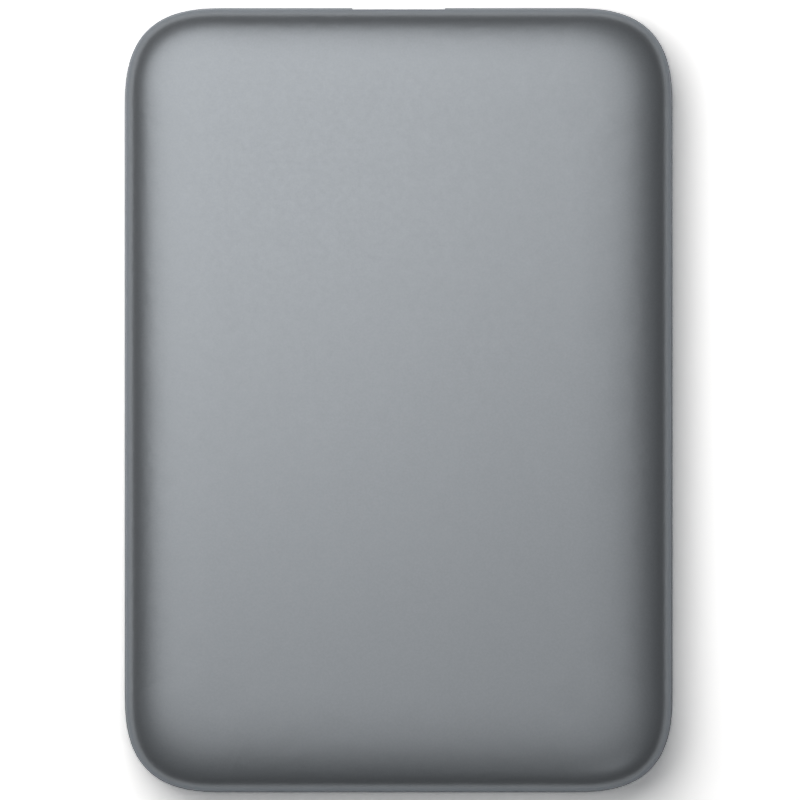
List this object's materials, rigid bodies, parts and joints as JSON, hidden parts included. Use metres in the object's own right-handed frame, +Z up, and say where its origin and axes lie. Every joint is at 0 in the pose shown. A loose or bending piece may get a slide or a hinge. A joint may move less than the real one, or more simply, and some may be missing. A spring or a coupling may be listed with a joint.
{
  "type": "external hard drive",
  "caption": "Flat pocket-size external hard drive: softly rounded grey plastic case with a data socket at one end, holding a spinning disk drive and its bridge board.",
  "frame": {"origin": "middle of the four feet, on the surface that the drive stands on", "axes": "+Z up out of the upper face, +Y towards the end with the socket, +X to the right seen from above with the socket end away"},
  "size_m": [0.08, 0.1144, 0.0152],
  "materials": {
    "case_plastic": "fine satin moulded grey plastic",
    "bumper_rubber": "soft black rubber",
    "clear_plastic": "clear moulded light pipe",
    "board_laminate": "green solder mask over laminate",
    "chip_resin": "black moulded resin",
    "connector_resin": "black connector resin",
    "contact_gold": "gold plated contact strip",
    "plated_steel": "bright plated steel sheet",
    "screw_steel": "turned steel",
    "cast_aluminium": "as-cast aluminium with machined faces",
    "cover_steel": "pressed stainless sheet",
    "machined_aluminium": "turned aluminium",
    "disk_mirror": "polished disk",
    "copper_wire": "enamelled copper winding",
    "magnet_plate": "nickel plated magnet",
    "stator_steel": "stacked electrical steel",
    "ramp_resin": "ivory bearing resin",
    "flex_film": "amber film",
    "filter_felt": "white felt",
    "gasket_rubber": "thin seal",
    "pad_foam": "thin insulating foam",
    "led_lens": "milky light source"
  },
  "bodies": {
    "case": {"top_cover": "case_plastic", "bottom_cover": "case_plastic", "light_pipe": "clear_plastic", "foot_rear_left": "bumper_rubber", "foot_rear_right": "bumper_rubber", "foot_front_left": "bumper_rubber", "foot_front_right": "bumper_rubber", "bumper_rear_left": "bumper_rubber", "bumper_rear_right": "bumper_rubber", "bumper_front_left": "bumper_rubber", "bumper_front_right": "bumper_rubber", "bridge_board": "board_laminate", "usb_shell": "plated_steel", "usb_tongue": "connector_resin", "usb_contacts": "contact_gold", "sata_socket": "connector_resin", "bridge_controller": "chip_resin", "bridge_flash": "chip_resin", "bridge_crystal": "plated_steel", "bridge_inductor": "chip_resin", "status_led": "led_lens", "drive_base": "cast_aluminium", "drive_cover": "cover_steel", "cover_gasket": "gasket_rubber", "cover_screws": "screw_steel", "drive_board": "board_laminate", "board_pad": "pad_foam", "board_screws": "screw_steel", "sata_header": "connector_resin", "sata_contacts": "contact_gold", "drive_controller": "chip_resin", "cache_memory": "chip_resin", "motor_driver": "chip_resin", "spindle_shaft": "screw_steel", "stator_core": "stator_steel", "stator_coils": "copper_wire", "pivot_shaft": "screw_steel", "yoke_lower": "plated_steel", "yoke_upper": "plated_steel", "yoke_posts": "screw_steel", "crash_stops": "bumper_rubber", "voice_magnet": "magnet_plate", "park_ramp": "ramp_resin", "flex_cable": "flex_film", "flex_bracket": "connector_resin", "breather_filter": "filter_felt", "recirculation_filter": "filter_felt"},
    "disk_stack": {"spindle_hub": "machined_aluminium", "rotor_magnet": "magnet_plate", "platter_lower": "disk_mirror", "platter_spacer": "machined_aluminium", "platter_upper": "disk_mirror", "disk_clamp": "machined_aluminium", "clamp_screws": "screw_steel"},
    "actuator": {"pivot_sleeve": "screw_steel", "actuator_arm": "machined_aluminium", "voice_coil": "copper_wire", "head_1": "plated_steel", "head_2": "plated_steel", "head_3": "plated_steel", "head_4": "plated_steel"}
  },
  "joints": [
    {"name": "disk_spin", "type": "hinge", "parent": "case", "child": "disk_stack", "pos_m": [0, -0.01792, 0.0069], "axis": [0, 0, 1], "continuous": true},
    {"name": "actuator_swing", "type": "hinge", "parent": "case", "child": "actuator", "pos_m": [-0.008, 0.02007, 0.0082], "axis": [0, 0, -1], "range_deg": [0, 35.7]}
  ]
}
